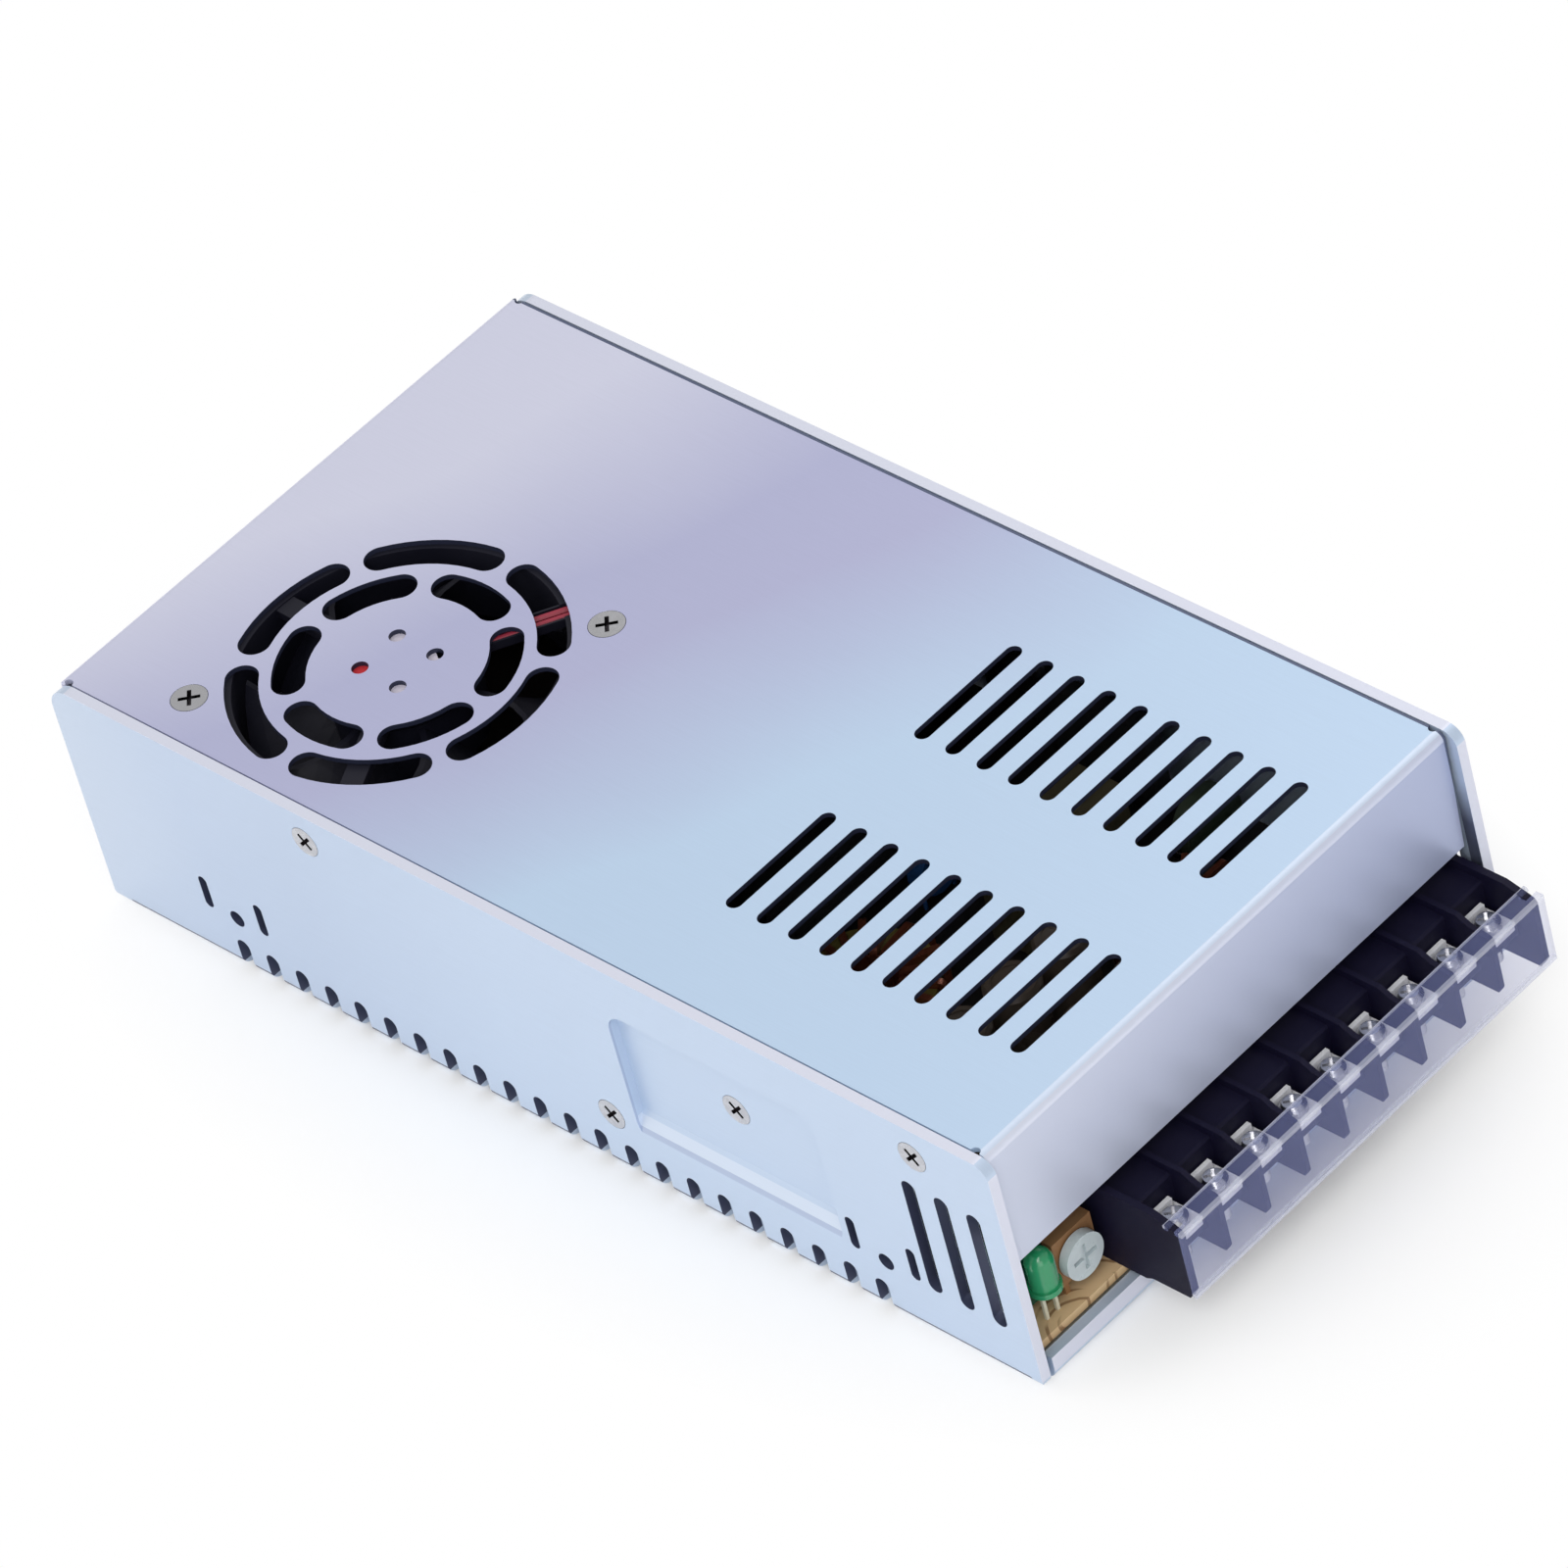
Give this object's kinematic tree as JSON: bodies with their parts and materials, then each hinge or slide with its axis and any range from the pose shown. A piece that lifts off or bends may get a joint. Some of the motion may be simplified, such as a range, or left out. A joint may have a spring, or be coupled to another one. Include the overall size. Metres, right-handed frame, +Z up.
{
  "type": "enclosed switching power supply",
  "caption": "Folded sheet power supply with slotted cover, round fan grille, barrier terminal block behind a hinged clear guard, and a trimmer and indicator beside it.",
  "frame": {"origin": "The middle of the flat underside of the chassis", "axes": "+X runs along the case to the terminals, +Y across it, away from the trimmer, and +Z up"},
  "size_m": [0.2292, 0.115, 0.05],
  "materials": {
    "case_sheet": "satin",
    "cover_sheet": "satin",
    "bright_screws": "polished",
    "plated_steel": "satin",
    "film": "matt",
    "board_laminate": "satin",
    "black_moulding": "satin",
    "tinned_brass": "satin",
    "clear_guard": "clear",
    "fan_plastic": "satin",
    "sleeve_brass": "satin",
    "copper_wire": "enamelled",
    "ferrite": "matt",
    "wire_sleeve": "satin",
    "white_nylon": "satin",
    "trimmer_base": "matt",
    "dial_plastic": "satin",
    "green_lens": "gloss",
    "green_film": "gloss",
    "yellow_tape": "satin",
    "yellow_core": "satin",
    "dark_sleeve": "gloss",
    "brown_sleeve": "gloss",
    "yellow_box": "satin",
    "blue_disc": "gloss",
    "fuse_glass": "clear",
    "green_disc": "matt",
    "black_epoxy": "matt",
    "blue_sleeve": "gloss",
    "resistor_body": "matt"
  },
  "bodies": {
    "case": {"chassis": "case_sheet", "top_cover": "cover_sheet", "cover_screws": "bright_screws", "insulating_film": "film", "board_standoffs": "plated_steel", "circuit_board": "board_laminate", "board_screws": "bright_screws", "terminal_block": "black_moulding", "terminal_contacts": "tinned_brass", "clamp_washers": "plated_steel", "terminal_screws": "bright_screws", "fan_frame": "fan_plastic", "fan_bearing": "sleeve_brass", "fan_stator": "copper_wire", "fan_screws": "bright_screws", "fan_lead": "wire_sleeve", "fan_header": "white_nylon", "trimmer_body": "trimmer_base", "status_led": "green_lens", "film_capacitor": "green_film", "transformer_core": "ferrite", "transformer_bobbin": "black_moulding", "transformer_winding": "yellow_tape", "output_choke_core": "yellow_core", "output_choke_winding": "copper_wire", "filter_choke_core": "ferrite", "filter_choke_winding": "copper_wire", "bulk_capacitors": "dark_sleeve", "output_capacitors": "brown_sleeve", "line_capacitor": "yellow_box", "disc_capacitors": "blue_disc", "fuse_link": "fuse_glass", "fuse_clips": "plated_steel", "inrush_thermistor": "green_disc", "bridge_rectifier": "black_epoxy", "output_rectifiers": "black_epoxy", "rectifier_clamp": "plated_steel", "power_transistors": "black_epoxy", "transistor_clamp": "plated_steel", "clamp_screws": "bright_screws", "side_bracket": "plated_steel", "drive_transformer": "yellow_tape", "control_chips": "black_epoxy", "small_capacitors": "blue_sleeve", "power_resistors": "resistor_body"},
    "rotor": {"fan_rotor": "fan_plastic", "fan_magnet": "ferrite", "fan_shaft": "plated_steel"},
    "guard": {"terminal_guard": "clear_guard"},
    "dial": {"trimmer_dial": "dial_plastic"}
  },
  "joints": [
    {"name": "fan_spin", "type": "hinge", "parent": "case", "child": "rotor", "pos_m": [-0.0583, -0.0219, 0.04], "axis": [0, 0, 1], "continuous": true},
    {"name": "guard_flip", "type": "hinge", "parent": "case", "child": "guard", "pos_m": [0.118, 0.00985, 0.02245], "axis": [0, -1, 0], "range_deg": [0, 95]},
    {"name": "trimmer_turn", "type": "hinge", "parent": "case", "child": "dial", "pos_m": [0.1019, -0.0401, 0.0135], "axis": [1, 0, 0], "range_deg": [-120, 120]}
  ]
}
